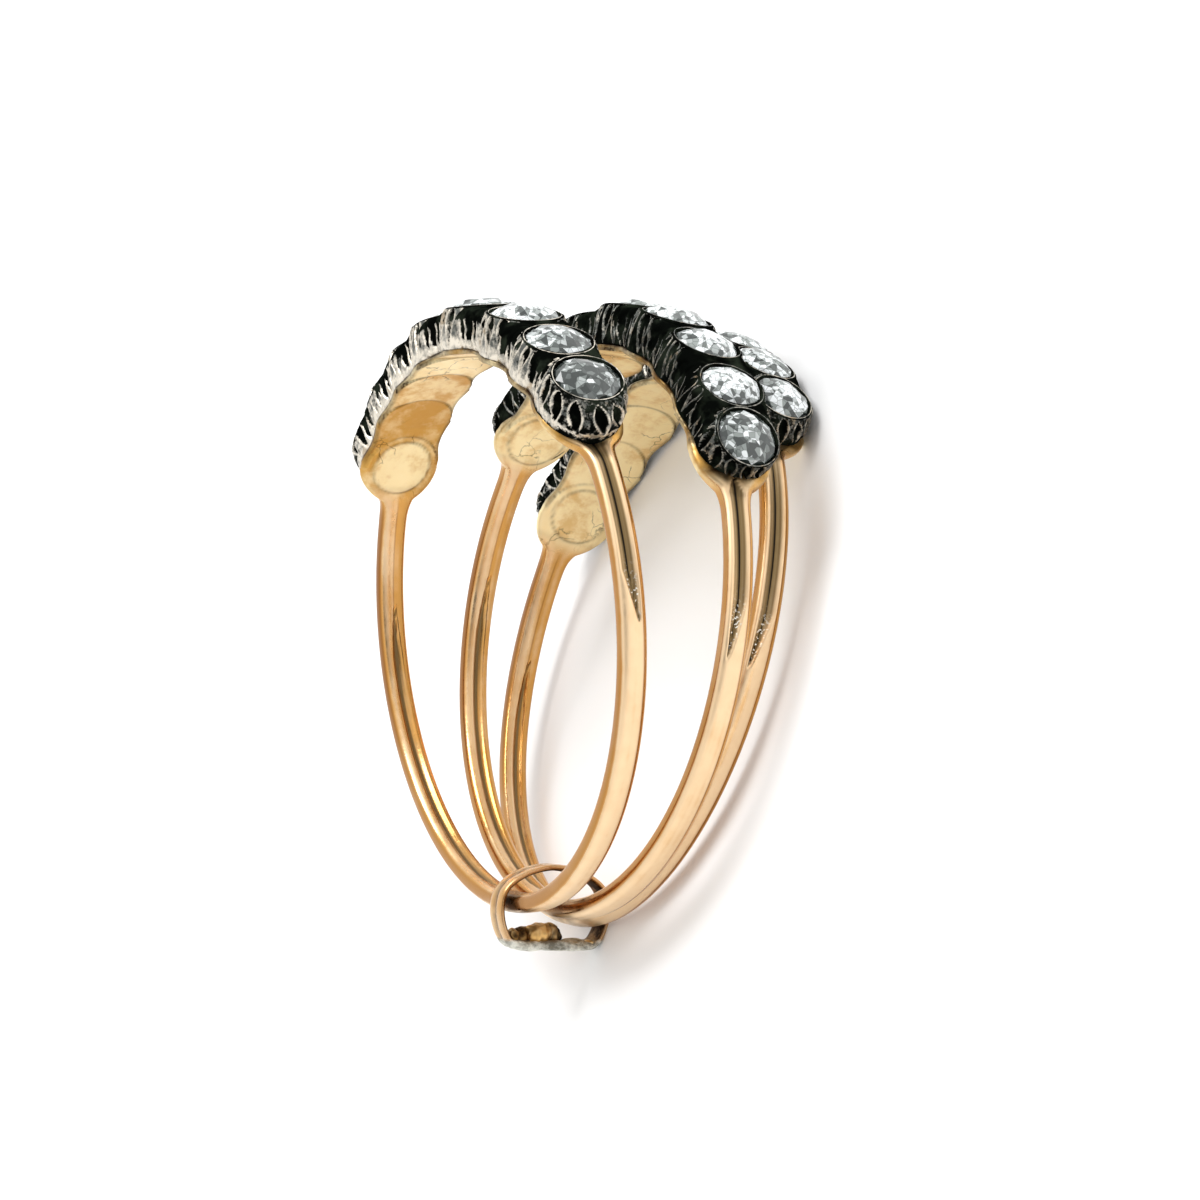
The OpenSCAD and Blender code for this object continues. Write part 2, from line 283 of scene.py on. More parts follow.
def goldMaterial():
    # rose-yellow gold: polished wire, pale brushed plate, brown dirt, grey old solder, with painted shade,
    # painted dark reflections and painted glints
    # the warm orange colours the sides in painted shade; the edge colour is painted shade at the wire's
    # edges and its painted dark reflection lines; black is the painted dark line in a flute, and the dirt
    # colour also serves for painted shade
    look = {
        "pale": (0.88, 0.65, 0.40), "sideShade": (0.64, 0.33, 0.09), "edge": (0.22, 0.07, 0.015),
        "plate": (1.0, 0.84, 0.50), "plateDeep": (0.66, 0.37, 0.09), "dirtAndShade": (0.030, 0.014, 0.006),
        "fluteReflectionColour": (0.23, 0.155, 0.07), "black": (0.010, 0.008, 0.006), "paintedGlint": (1.0, 0.95, 0.85),
        "solderDark": (0.20, 0.19, 0.15), "solder": (0.80, 0.79, 0.70),
        "shiny": (0.13, 0.26), "dull": (0.36, 0.5), "fluteRough": 0.38, "dirtRough": 0.6,
    }
    m = Nodes("wornGold")
    # wire: pale outer face, sides painted darker orange as shade, painted dark edges, with cloudy changes
    # of tone
    cloud = m.ramp(m.noise(520.0, 4.0, 0.6), 0.3, 0.7, -0.22, 0.22)
    wire = m.mix(m.ramp(m.math("ADD", m.mark("sideShade"), cloud), 0.0, 1.0), look["pale"], look["sideShade"])
    wire = m.mix(m.mark("edge"), wire, look["edge"])
    # plate: each scale painted its own shade, lighter or darker orange by how light falls on its slope
    uneven = m.ramp(m.noise(900.0, 5.0, 0.65), 0.3, 0.7, -0.32, 0.32)
    depth = m.math("ADD", m.mark("deep"), uneven)
    plate = m.mix(m.ramp(depth, 0.1, 0.95), look["plate"], look["plateDeep"])
    plate = m.mix(hairlines(m), plate, look["dirtAndShade"])
    colour = m.mix(m.mark("plate"), wire, plate)
    # flutes: painted dark reflection, a band with a black line along the middle, and painted glints near
    # the point
    fluteReflection = m.mark("fluteReflection")
    colour = m.mix(m.ramp(fluteReflection, 0.05, 0.5), colour, look["fluteReflectionColour"])
    colour = m.mix(m.ramp(fluteReflection, 0.55, 0.95), colour, look["black"])
    # dirt, with painted shade under the silver and inside the collar, broken into patches
    patchy = m.ramp(m.noise(1500.0, 4.0, 0.7), 0.25, 0.6, 0.45, 1.0)
    grimeAndShade = m.math("MULTIPLY", m.mark("dirtAndShade"), patchy)
    colour = m.mix(grimeAndShade, colour, look["dirtAndShade"])
    paintedGlint = m.math("MULTIPLY", m.mark("paintedGlint"), m.ramp(m.noise(11000.0, 1.0), 0.60, 0.64))
    colour = m.mix(paintedGlint, colour, look["paintedGlint"])
    # old solder: light and dark grains
    grain = m.noise(2600.0, 5.0, 0.7)
    lump = m.mix(m.ramp(grain, 0.35, 0.65), look["solderDark"], look["solder"])
    solder = m.mark("solder")
    colour = m.mix(solder, colour, lump)
    metal = m.ramp(solder, 0.0, 1.0, 1.0, 0.3)
    # roughness: shiny sides, dull outer face and plate, duller in flutes, in the dirt and painted shade,
    # and in solder
    spread = m.noise(2400.0, 3.0, 0.6)
    shiny = m.ramp(spread, 0.3, 0.7, *look["shiny"])
    dull = m.ramp(spread, 0.3, 0.7, *look["dull"])
    rough = m.blendValue(m.ramp(m.mark("sideShade"), 0.15, 0.6), dull, shiny)
    rough = m.blendValue(m.mark("plate"), rough, dull)
    rough = m.math("MAXIMUM", rough, m.ramp(fluteReflection, 0.05, 0.4, 0.0, look["fluteRough"]))
    for cover in (grimeAndShade, solder):
        rough = m.math("MAXIMUM", rough, m.math("MULTIPLY", cover, look["dirtRough"]))
    # slight dents, fine scratches and the solder's coarse grain
    normal = m.bump(m.noise(1300.0, 3.0, 0.5), 0.12, 0.00006)
    normal = m.bump(m.noise(9000.0, 2.0, 0.5), 0.10, 0.00003, normal)
    normal = m.bump(m.math("MULTIPLY", solder, grain), 0.8, 0.00012, normal)
    m.feed(m.shader, ("Base Color", "Metallic", "Roughness", "Normal"), (colour, metal, rough, normal))
    return m.material


def silverMaterial():
    # blackened silver, rubbed pale on the ribs and rims; the rubbed parts carry painted light, lighter or
    # darker on each hoop by how it is lit
    look = {
        "black": (0.002, 0.0025, 0.002), "green": (0.016, 0.021, 0.014), "grey": (0.10, 0.105, 0.095),
        "cream": (0.86, 0.79, 0.67), "tan": (0.45, 0.33, 0.20), "metal": 0.85, "rough": (0.28, 0.45),
    }
    m = Nodes("blackenedSilver")
    dark = m.mix(m.ramp(m.noise(1200.0, 4.0), 0.45, 0.68), look["black"], look["green"])
    # rubbed parts run from grey to cream by their tone and the hoop's painted light, with tan patches
    patch = m.noise(4200.0, 5.0, 0.7)
    toneAndLight = m.math("ADD", m.mark("toneAndLight"), m.ramp(patch, 0.3, 0.7, -0.30, 0.22))
    pale = m.mix(m.ramp(toneAndLight, 0.1, 0.85), look["grey"], look["cream"])
    pale = m.mix(m.ramp(m.noise(1500.0, 4.0), 0.58, 0.70, 0.0, 0.7), pale, look["tan"])
    # the edge of the rubbing is broken up; the black parts neither mirror nor shine
    ragged = m.ramp(m.noise(5200.0, 4.0, 0.7), 0.3, 0.7, -0.22, 0.22)
    amount = m.ramp(m.math("ADD", m.mark("rub"), ragged), 0.38, 0.60)
    colour = m.mix(amount, dark, pale)
    metal = m.ramp(amount, 0.0, 1.0, 0.0, look["metal"])
    shine = m.ramp(amount, 0.0, 1.0, 0.0, 0.5)
    rough = m.ramp(patch, 0.3, 0.7, *look["rough"])
    sockets = ("Base Color", "Metallic", "Specular IOR Level", "Roughness", "Normal")
    m.feed(m.shader, sockets, (colour, metal, shine, rough, m.bump(patch, 0.3, 0.00006)))
    return m.material


def stoneMaterial():
    # grey-white old-cut stone with painted reflections: each facet its own painted brightness, with a
    # mosaic of small cells of painted glints in it
    look = {
        "dark": (0.030, 0.038, 0.035), "mid": (0.26, 0.29, 0.275), "bright": (0.88, 0.92, 0.93),
        "cells": 5200.0, "rough": 0.06, "ior": 1.7,
    }
    m = Nodes("oldCutStone")
    cells = m.pattern("ShaderNodeTexVoronoi", feature="F1", Scale=look["cells"])["Color"]
    inside = m.add("ShaderNodeSeparateColor")
    m.link(cells, inside.inputs[0])
    level = m.math("ADD", m.mark("facet"), m.ramp(inside.outputs[0], 0.0, 1.0, -0.27, 0.27))
    low = m.mix(m.ramp(level, 0.10, 0.45), look["dark"], look["mid"])
    colour = m.mix(m.ramp(level, 0.42, 0.80), low, look["bright"])
    lines = m.pattern("ShaderNodeTexVoronoi", feature="DISTANCE_TO_EDGE", Scale=look["cells"])["Distance"]
    colour = m.mix(m.ramp(lines, 0.0, 0.08, 0.6, 0.0), colour, look["dark"])
    m.feed(m.shader, ("Base Color", "Roughness", "IOR"), (colour, look["rough"], look["ior"]))
    return m.material


gold = goldMaterial()
silver = silverMaterial()
stoneLook = stoneMaterial()
print("materials made")

# Gold hoop: wire, back plate and end cups as one closed tube.
hoopGold = {
    "boreRadius": 8.74, "wireThick": 0.62, "wireHalf": 0.43, "plateThick": 0.20, "plateHalf": 1.20,
    "cupRadius": 1.30, "lobeOver": 0.30, "flareHalf": 0.78, "flareLength": 0.98,
    "wireRound": 3.0, "cupRound": 3.2, "plateRound": 9.0,
    "rowReach": 68.0, "rowSteps": 560, "wireSteps": 420, "under": 33, "over": 29,
    "cellFlat": 0.9, "scale": 0.035, "crackline": 0.06,
    "discEdge": (0.96, 1.03), "discLine": (1.01, 0.05), "discLift": 0.045,
    "flute": 0.13, "fluteHalf": 0.60, "fluteTaper": 1.7, "fluteShift": -0.12,
    "innerFlute": 4.9, "innerHalf": 0.42, "innerTaper": 2.0, "innerShift": 0.06,
    "wireRadius": 9.05, "facetLine": -0.61,
}


def arcDistance(hoop, radius, way):
    # distance from the hoop's centre to a circle of this radius round the row's arc centre
    r = math.radians(hoop["rowDir"] - 90)
    centre = np.array([-math.sin(r), math.cos(r)]) * hoop["arcShift"]
    along = way @ centre
    return along + np.sqrt(along ** 2 - centre @ centre + radius ** 2)


def rowLength(hoop, radius, way):
    # angle times radius along the row's arc, from its middle to a point in each direction
    r = math.radians(hoop["rowDir"] - 90)
    px = radius * way[:, 0] * math.cos(r) + radius * way[:, 1] * math.sin(r)
    py = -radius * way[:, 0] * math.sin(r) + radius * way[:, 1] * math.cos(r) - hoop["arcShift"]
    return np.arctan2(-px, py) * hoop["arcRadius"]


def hoopHalfWidth(hoop, s, past, seats):
    # Half width of the tube: the wire, a circle at each inner stone, two at each end cup, the
    # plate and a flare from cup to wire, joined as the 14th root of the sum of 14th powers.
    g = hoopGold
    circles = [(hoop["across"][k] + g["lobeOver"], seats[k]) for k in range(1, 7)]
    for seat, drawn in ((seats[0], -hoop["drawnOut"][0]), (seats[7], hoop["drawnOut"][1])):
        circles += [(g["cupRadius"], seat), (g["cupRadius"], seat + drawn)]
    halves = [np.full_like(s, g["wireHalf"])]
    for radius, centre in circles:
        halves.append(np.sqrt(np.maximum(radius ** 2 - (s - centre) ** 2, 0)))
    inside = smooth(s, seats[0] - 0.1, seats[0] + 0.1) * smooth(-s, -seats[7] - 0.1, -seats[7] + 0.1)
    halves.append(g["plateHalf"] * inside)
    flare = np.exp(-(np.maximum(past, 0) / g["flareLength"]) ** 2.2)
    halves.append(np.where(past > 0, g["wireHalf"] + g["flareHalf"] * flare, 0))
    return np.sum(np.array(halves) ** 14, axis=0) ** (1 / 14)


def plateScales(hoop, s, t, seats):
    # Round scales, each overlapping the last towards the row's end. Gives the scale at each
    # point, how far inside its edge the point lies, and how far from the nearest edge of all.
    cell = np.full(t.shape, 3)
    inOwn = np.full(t.shape, 9.0)
    toEdge = np.full(t.shape, 9.0)
    for k in (4, 5, 6, 7, 2, 1, 0):
        lobe = hoop["across"][k] + hoopGold["lobeOver"]
        outwards = 1 if k > 3 else -1
        inScale = outwards * (s[:, None] - seats[k]) + np.sqrt(np.maximum(lobe ** 2 - t ** 2, 0))
        cell = np.where(inScale > 0, k, cell)
        inOwn = np.where(inScale > 0, inScale, inOwn)
        toEdge = np.minimum(toEdge, np.abs(inScale))
    return cell, inOwn, toEdge


def cupDiscs(s, t, seats):
    # round disc under each end cup: 1 inside its edge, and a bell-shaped line along the edge
    far = np.minimum(np.hypot(s[:, None] - seats[0], t), np.hypot(s[:, None] - seats[7], t))
    return 1 - smooth(far, *hoopGold["discEdge"]), bell(far, *hoopGold["discLine"])


def wireFlutes(hoop, past, base, across):
    # Two flutes, outside near the cup and inside further down, each narrowing to a point.
    # Gives the place across each one, its half width and its darkness.
    g = hoopGold
    toTip = np.clip((hoop["fluteEnd"] - past) / g["fluteTaper"], 0, 1)
    begun = smooth(past, hoop["fluteFrom"] - 0.3, hoop["fluteFrom"] + 0.3)
    outHalf = g["fluteHalf"] * toTip ** 0.8 * begun
    outPlace = across[None, :] + (g["fluteShift"] + hoop["tip"] * (1 - toTip))[:, None]
    fromTip = np.clip((past - g["innerFlute"]) / g["innerTaper"], 0, 1)
    inHalf = g["innerHalf"] * fromTip ** 0.8 * smooth(base, 1.0, 3.0)
    inPlace = across[None, :] + g["innerShift"]
    return (outPlace, outHalf, 1.0), (inPlace, inHalf, 0.72)


def flute(place, half, depth):
    # cross-section of a shallow groove, a parabola
    return depth * np.clip(1 - (place / np.maximum(half, 1e-3)) ** 2, 0, 1) * (half > 0.02)


def hoopShape(hoop):
    # The tube is swept by the angle round the finger hole. Its section is |a|^p + |b|^p = 1,
    # whose half width, thickness and power p change from wire to cup to plate.
    g = hoopGold
    mid, reach = hoop["rowDir"], g["rowReach"]
    inRow = np.linspace(mid - reach, mid + reach, g["rowSteps"], endpoint=False)
    onWire = np.linspace(mid + reach, mid - reach + 360, g["wireSteps"], endpoint=False)
    phi = np.radians(np.concatenate([inRow, onWire]))
    way = np.stack([np.cos(phi), np.sin(phi)], axis=-1)
    inner = np.minimum(g["boreRadius"], arcDistance(hoop, hoop["arcRadius"], way))
    outerPlate = arcDistance(hoop, hoop["arcRadius"] + g["plateThick"], way)
    # s: length along the row's arc, past: length beyond the end cup, base: length from the collar
    s = rowLength(hoop, inner, way)
    seats = np.radians(hoop["angles"]) * hoop["arcRadius"]
    past = np.maximum(seats[0] - hoop["drawnOut"][0] - s, s - seats[7] - hoop["drawnOut"][1])
    base = np.abs((phi - math.radians(270) + math.pi) % (2 * math.pi) - math.pi) * g["wireRadius"]
    half = hoopHalfWidth(hoop, s, past, seats)
    onCup = 1 - smooth(past, 0.9, 1.9)
    onPlate = smooth(-past, -0.2, 1.3)
    thick = g["wireThick"] * (1 - onCup) + hoop["lip"] * onCup
    thick = thick * (1 - onPlate) + (outerPlate - inner) * onPlate
    power = g["wireRound"] * (1 - onCup) + g["cupRound"] * onCup
    power = power * (1 - onPlate) + g["plateRound"] * onPlate
    side = hoop["side"] * smooth(-past, -1.6, 0.2)
    # points round the section: underside, then the upper side back
    a = np.sin(math.pi / 2 * np.linspace(-1, 1, g["under"]))
    b = np.sin(math.pi / 2 * np.linspace(1, -1, g["over"]))[1:-1]
    across = np.concatenate([a, b])
    sign = np.concatenate([-np.ones(g["under"]), np.ones(g["over"] - 2)])
    lift = (1 - np.abs(across[None, :]) ** power[:, None]) ** (1 / power[:, None])
    lift = sign[None, :] * lift
    tube = side[:, None] + half[:, None] * across[None, :]
    depth = inner[:, None] + thick[:, None] * (0.5 + 0.5 * lift)
    under = np.clip(-lift, 0, 1)
    upper = np.clip(lift, 0, 1)
    # each scale is nearly flat and stands out at its edge, and the discs are a hair proud
    cell, inOwn, toEdge = plateScales(hoop, s, tube - hoop["side"], seats)
    disc, rim = cupDiscs(s, tube - hoop["side"], seats)
    away = np.clip((s[:, None] - seats[cell]) / hoop["arcRadius"], -0.16, 0.16)
    inPlate = smooth(-past, 0, 0.6)[:, None]
    flat = hoop["arcRadius"] * (1 / np.cos(away) - 1) * g["cellFlat"]
    depth = depth + (flat - g["scale"] * np.exp(-inOwn / 0.25)) * inPlate * under
    depth = depth - g["discLift"] * disc * under
    outer, inside = wireFlutes(hoop, past, base, across)
    outFlute = flute(outer[0], outer[1][:, None], g["flute"]) * upper
    depth = depth - outFlute + flute(inside[0], inside[1][:, None], g["flute"]) * under
    points = np.stack([depth * way[:, 0:1], depth * way[:, 1:2], tube], axis=-1)
    wobble = ripple(points, 1.7, hoop["seed"]) * 0.012 + ripple(points, 0.6, hoop["seed"] + 1) * 0.005
    wobble = wobble * smooth(-past, -0.5, 0.5)[:, None]
    points[..., :2] += way[:, None, :] * wobble[..., None]
    at = {
        "points": points, "s": s, "past": past, "base": base, "across": across, "lift": lift,
        "onCup": onCup, "inPlate": inPlate, "cell": cell, "toEdge": toEdge, "disc": disc * under,
        "rim": rim * under, "under": under, "upper": upper, "outer": outer, "inside": inside,
        "fluted": outFlute > 0.01,
    }
    return points.reshape(-1, 3), tubeFaces(*depth.shape), hoopMarks(hoop, at)


def hoopDirtAndShade(hoop, at):
    # dark lines along the scales, discs and plate edges, a dark line at the cup's foot and dirt on its
    # lip, and painted shade under the silver and inside the collar
    g = hoopGold
    points, past, upper = at["points"], at["past"], at["upper"]
    crease = bell(at["toEdge"], 0, g["crackline"]) * at["under"] * at["inPlate"]
    crease = crease * (0.6 + 0.4 * ripple(points, 0.8, 5))
    dirtAndShade = 0.75 * np.clip(crease, 0, 1) + 0.5 * at["rim"]
    dirtAndShade += 0.6 * smooth(np.abs(at["across"]), 0.86, 0.97)[None, :] * at["inPlate"]
    dirtAndShade += 0.35 * bell(past, 0.7, 0.12)[:, None] * (0.35 + 0.65 * upper)
    lip = smooth(past, -0.2, 0.0) * (1 - smooth(past, 0.7, 1.5))
    lip = lip[:, None] * upper
    dirtAndShade += lip * (0.45 + 0.50 * ripple(points, 0.35, 12))
    # painted shade under the silver
    dirtAndShade += 0.85 * smooth(at["lift"], 0.2, 0.9) * smooth(-past, -0.1, 0.3)[:, None]
    # painted shade where the wires go into the collar
    dirtAndShade += 0.55 * (1 - smooth(at["base"], 0.5, 1.3))[:, None]
    return dirtAndShade, lip


def hoopMarks(hoop, at):
    # colour marks from 0 to 1: pale outer face and sides in painted shade, painted dark edges and dark
    # reflection lines, painted dark reflections in the flutes, painted glints, dirt with painted shade,
    # and the painted shade of orange on each scale
    points, s, past, lift = at["points"], at["s"], at["past"], at["lift"]
    dirtAndShade, lip = hoopDirtAndShade(hoop, at)
    face = smooth(lift, 0.35, 0.8)
    inFace = smooth(-lift, 0.35, 0.8)
    bar = at["across"][None, :] * np.ones_like(lift)
    # fine lines drawn along the wire
    drawn = np.stack([bar * 2.2, s[:, None] * 0.06 * np.ones_like(bar), 0.5 * lift], axis=-1)
    # painted shade: the sides and part of the inner face darker orange, as the gold's own reflections
    # darken them
    sideShade = 1 - 0.95 * face * smooth(bar, -0.66, -0.56) - inFace * (0.15 + 0.45 * smooth(bar, -0.04, 0.04))
    sideShade = sideShade + 0.30 * ripple(drawn, 0.30, hoop["seed"] + 3)
    # painted shade along the wire's two edges, and painted dark reflection lines on the outer and inner
    # faces
    edge = smooth(np.abs(bar), 0.86, 0.97) * (0.45 + 0.25 * ripple(points, 2.2, 9))
    edge += 0.9 * face * bell(bar, hoopGold["facetLine"], 0.05) + 0.5 * inFace * bell(bar, 0, 0.05)
    edge = edge * (1 - at["onCup"])[:, None]
    # in a flute the painted dark reflection: its band ends at r = 0.88 of the half width, its black line at
    # 0.24
    fluteReflection = np.zeros_like(lift)
    for (place, half, share), facing in ((at["outer"], at["upper"]), (at["inside"], at["under"])):
        r = np.abs(place) / np.maximum(half[:, None], 1e-3)
        on = (half > 0.03)[:, None] * smooth(facing, 0.1, 0.4)
        fluteReflection += share * on * (0.40 * (1 - smooth(r, 0.62, 0.88)) + 0.6 * (1 - smooth(r, 0.08, 0.24)))
    fine = 0.16 * (fluteReflection > 0.05) * ripple(drawn, 0.22, 15)
    fluteReflection = fluteReflection * (0.85 + 0.25 * ripple(points, 1.1, 8)) + fine
    # painted glints near the flute's point
    paintedGlint = bell(past, hoop["fluteEnd"] - 0.9, 0.6)[:, None] * at["fluted"]
    plate = (1 - smooth(past, 0.5, 1.4))[:, None] * np.ones_like(bar)
    # each scale's painted shade of orange, paler on the discs and deeper on the lip
    deep = np.take(np.array(hoop["deep"]), at["cell"])
    deep = deep * (1 - at["disc"]) + 0.28 * at["disc"] + 0.5 * lip
    marks = {"dirtAndShade": dirtAndShade, "plate": plate, "edge": edge, "fluteReflection": fluteReflection, "sideShade": sideShade,
             "deep": deep, "paintedGlint": paintedGlint}
    return {key: np.clip(value, 0, 1) for key, value in marks.items()}


for row, hoop in hoops.items():
    points, faces, marks = hoopShape(hoop)
    piece = addMesh("hoop_" + row + "_gold", lay(points, hoop), faces, gold, marks)
    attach(piece, row + "_hoop")
    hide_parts("hoop_" + row)
print("gold hoops made")

# Silver row: domed beads with ribs and leaf cuts round them, joined by a web with valleys.
# sideCuts and endCuts are degrees round a bead, webCuts place and half width on the web.
collet = {
    "lobeOver": 0.32, "rim": 1.54, "midSteps": 160, "midProfile": 42, "endSteps": 260, "endProfile": 48,
    "cutDepth": 0.18, "ribLift": 0.03, "cutHalf": 8.0, "gapTop": 58.0, "gapFoot": 74.0,
    "sideCuts": (-31, -9, 13, 34), "endCuts": (0, 30, -30, 60, -60, 88, -88, 112, -112, 134, -134),
    "endSpans": ((0.12, 0.80), (0.06, 0.92)), "endBend": -20,
    "webHalf": 1.27, "webTop": 1.54, "webRows": 480, "webColumns": 26, "webSide": 9,
    "webCuts": ((0, 0.26), (-0.46, 0.18), (0.46, 0.18)), "webCutDepth": 0.09,
}


def smoothWeights(count, samples):
    # Catmull-Rom weights: how much each control row counts at each sample along the profile
    t = np.linspace(0, count - 1 - 1e-9, samples)
    k = t.astype(int)
    f = t - k
    weights = np.zeros((samples, count))
    parts = (-0.5 * f + f ** 2 - 0.5 * f ** 3, 1 - 2.5 * f ** 2 + 1.5 * f ** 3,
             0.5 * f + 2 * f ** 2 - 1.5 * f ** 3, -0.5 * f ** 2 + 0.5 * f ** 3)
    for shift, part in zip((-1, 0, 1, 2), parts):
        np.add.at(weights, (np.arange(samples), np.clip(k + shift, 0, count - 1)), part)
    return weights


def leafCuts(end, rng):
    # each cut's direction, low end, high end and half width, all a little uneven
    c = collet
    cuts = []
    if end is None:
        for place in [side + cut for side in (90, -90) for cut in c["sideCuts"]]:
            low = rng.uniform(0.04, 0.20)
            where = place + rng.uniform(-2.5, 2.5)
            high = rng.uniform(0.86, 0.97)
            cuts.append((where, low, high, c["cutHalf"] * rng.uniform(0.6, 1.2)))
        return cuts
    for place in c["endCuts"]:
        low, high = c["endSpans"][0] if abs(place) < 70 else c["endSpans"][1]
        where = (0 if end == 0 else 180) + place + rng.uniform(-3, 3)
        low = low + rng.uniform(-0.05, 0.05)
        high = high + rng.uniform(-0.05, 0.05)
        cuts.append((where, low, high, c["cutHalf"] * rng.uniform(1.0, 1.25)))
    return cuts


def leafPattern(cuts, bend, degrees, u):
    # A cut is an almond: half width = widest times sin(pi t^1.3)^0.75, with t from 0 to 1 along
    # it. Gives 1 inside the cuts, and a pale loop along their edges, closed over the top.
    cut = np.zeros((len(u), len(degrees)))
    loop = np.zeros_like(cut)
    for where, low, high, widest in cuts:
        off = np.abs((degrees[None, :] - where + 180) % 360 - 180 - bend * (u - 0.5))
        t = np.clip((u - low) / (high - low), 0, 1)
        half = widest * np.sin(math.pi * t ** 1.3) ** 0.75
        on = 1 - smooth(off / np.maximum(half, 0.05), 0.80, 1.05)
        cut = np.maximum(cut, on * (half > 0.3))
        around = np.maximum(off - half, 0) / 3.0
        around = around + np.maximum(u - high, 0) / 0.07 + np.maximum(low - u, 0) / 0.2
        loop = np.maximum(loop, np.exp(-(around - 0.35) ** 2 * 5))
    return cut, loop


def colletRings(outer, crest, stone, foot):
    # radius and height along a bead's profile: under the foot, up the wall, over the shoulder
    # to the rim and down into the well
    gap = np.maximum(outer - crest, 0.05)
    one = np.ones_like(outer)
    top = collet["rim"]
    return np.array([
        (0.15 * outer, 0.11 * one), (0.55 * outer, 0.11 * one), (outer - 0.20, 0.12 * one),
        (outer - 0.05, 0.16 * one), (outer - 0.01, (foot + 0.04) * one),
        (outer, (0.45 * foot + 0.42) * one), (crest + 0.98 * gap, 0.86 * one),
        (crest + 0.86 * gap, 1.08 * one), (crest + 0.66 * gap, 1.28 * one),
        (crest + 0.38 * gap, 1.46 * one), (crest + 0.06, (top - 0.04) * one), (crest + 0.01, top * one),
        (crest - 0.035, (top - 0.03) * one), (stone + 0.03, 1.48 * one), (stone - 0.02, 1.37 * one),
        (0.5 * stone, 1.35 * one), (0.1 * stone, 1.35 * one),
    ])


def colletShape(hoop, i, seed):
    # A shape of revolution whose outer edge is a circle and inner one the stone's oval. Almond
    # cuts push pointed strips of the wall inwards.
    c = collet
    rng = np.random.default_rng(seed)
    end = 0 if i == 0 else 1 if i == 7 else None
    steps, rows = (c["midSteps"], c["midProfile"]) if end is None else (c["endSteps"], c["endProfile"])
    turn = np.linspace(0, 2 * math.pi, steps, endpoint=False)
    # points lie closer together at the two sides of a middle bead, where its cuts are
    theta = turn + 0.25 * np.sin(2 * turn) if end is None else turn
    degrees = np.degrees(theta)
    outer = np.full_like(theta, hoop["across"][i] + c["lobeOver"])
    facing = np.zeros_like(theta)
    if end is not None:
        # the end bead is drawn out towards the wire
        facing = np.maximum(np.cos(theta) * (1 if end == 0 else -1), 0)
        outer = outer + (hoop["drawnOut"][end] + 0.02 - hoop["pull"]) * facing ** 1.6
    a, b = hoop["along"][i], hoop["across"][i]
    stone = a * b / np.sqrt((b * np.cos(theta)) ** 2 + (a * np.sin(theta)) ** 2)
    crest = stone + 0.07 + 0.02 * np.abs(np.sin(theta))
    foot = hoop["lip"] if end is not None else 0.20
    rings = colletRings(outer, crest, stone, foot)
    weights = smoothWeights(len(rings), rows)
    rho = weights @ rings[:, 0, :]
    height = weights @ rings[:, 1, :]
    # u runs from 0 over the foot to 1 under the rim
    step = np.linspace(0, len(rings) - 1, rows)[:, None]
    u = (step - 4.0) / (10.2 - 4.0)
    wall = smooth(u, -0.10, 0.0) * (1 - smooth(u, 0.97, 1.04))
    cuts = leafCuts(end, rng)
    bend = rng.uniform(-9, 9) if end is None else c["endBend"]
    cut, loop = leafPattern(cuts, bend, degrees, u)
    cut = cut * wall
    loop = loop * wall * (1 - cut)
    rho = rho - c["cutDepth"] * cut + c["ribLift"] * loop
    points = np.stack([rho * np.cos(theta), rho * np.sin(theta), height], axis=-1)
    bumps = ripple(points, 0.16, seed + 5) * 0.007 + ripple(points, 0.5, seed + 6) * 0.010
    points = points * (1 + (bumps * (wall + 0.25))[..., None] * 0.8)
    # pale on ribs, rim and foot band; black in the cuts, beside the neighbours and in the well
    fromSide = np.abs(np.abs((degrees + 180) % 360 - 180) - 90)[None, :]
    gapEdge = c["gapTop"] + (c["gapFoot"] - c["gapTop"]) * (1 - smooth(u, 0.10, 0.80)) + 0 * rho
    gapShade = smooth(fromSide, gapEdge - 2.0, gapEdge + 2.0) * (facing[None, :] < 0.05)
    rub = wall * (1 - cut) * (1 - gapShade)
    if end is None:
        rub = rub * (hoop["ribs"] + (1 - hoop["ribs"]) * loop) * (1 - 0.6 * smooth(u, 0.74, 0.95))
    else:
        # on an end bead only the upper part of each rib is pale
        rub = rub * (0.16 + 0.84 * smooth(u, 0.06, 0.36)) * (0.42 + 0.58 * loop)
    footBand = hoop["band"] * (1 - smooth(u, 0.12, 0.28)) * smooth(step, 3.0, 4.0) * (1 - cut)
    rub = np.maximum(rub, footBand * (1 - 0.48 * smooth(facing, 0.3, 0.8))[None, :])
    rim = bell(step, 11.0, 0.42) * (0.78 + 0.22 * np.cos(theta * 3 + seed) * np.cos(theta + seed))
    rub = np.clip(np.maximum(rub, rim) * (1 - smooth(step, 11.4, 11.9)), 0, 1)
    # the hoop's painted light sets how bright its rubbed silver is
    toneAndLight = hoop["toneAndLight"] * np.clip(0.25 + 0.75 * loop + 0.6 * footBand + 0.9 * rim, 0, 1)
    # the two poles close the shape under the foot and in the well
    points = np.concatenate([[[0, 0, 0.11]], points.reshape(-1, 3), [[0, 0, 1.35]]])
    marks = {"rub": np.pad(rub.ravel(), 1), "toneAndLight": np.pad(toneAndLight.ravel(), 1)}
    return points, domeFaces(rows, steps), marks


